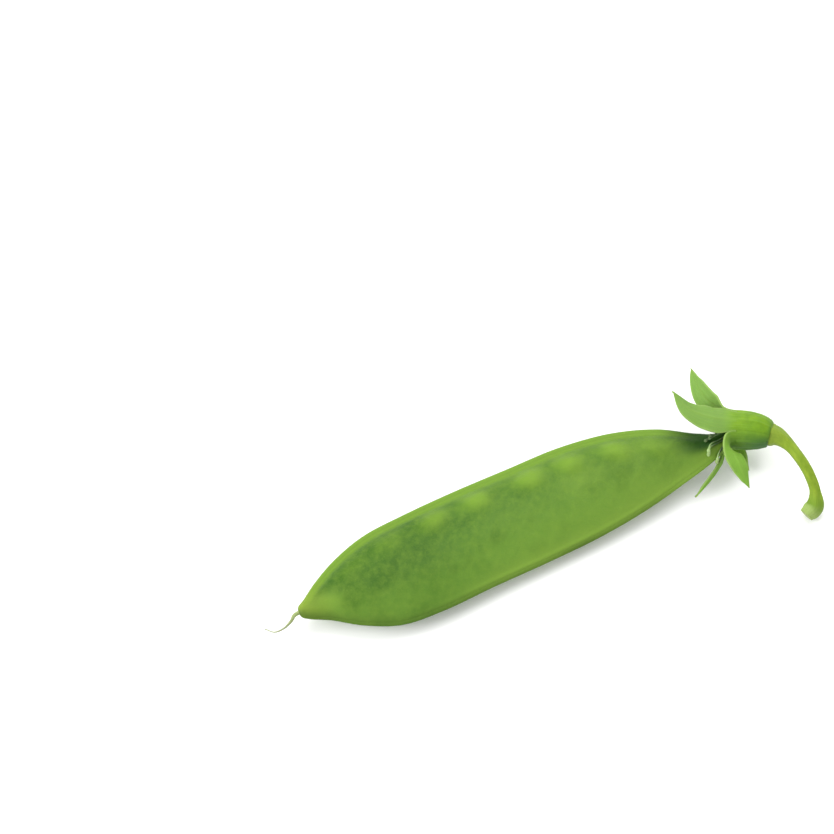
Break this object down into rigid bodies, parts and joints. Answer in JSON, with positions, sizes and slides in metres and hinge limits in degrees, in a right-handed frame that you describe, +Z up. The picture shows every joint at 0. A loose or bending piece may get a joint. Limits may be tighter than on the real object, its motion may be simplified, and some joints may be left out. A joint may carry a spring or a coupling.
{
  "type": "snow pea pod",
  "caption": "Fresh flat pea pod, as picked, lying on one valve, with ribbed sutures, seed swellings, leafy calyx, short curved stem and dried style.",
  "frame": {"origin": "middle of the flat spot that the belly of the lower valve rests on, at the level of the surface", "axes": "+X from the beak to the calyx, +Y to the seed-bearing suture, +Z up, through the valve that faces up"},
  "size_m": [0.1042, 0.0344, 0.0133],
  "materials": {
    "pod_skin": "satin",
    "calyx_leaf": "satin",
    "withered_flower": "matte",
    "stem_skin": "satin",
    "dried_style": "matte"
  },
  "bodies": {
    "root": {"pod": "pod_skin", "calyx": "calyx_leaf", "stamens": "withered_flower", "stem": "stem_skin", "style": "dried_style"}
  },
  "joints": []
}
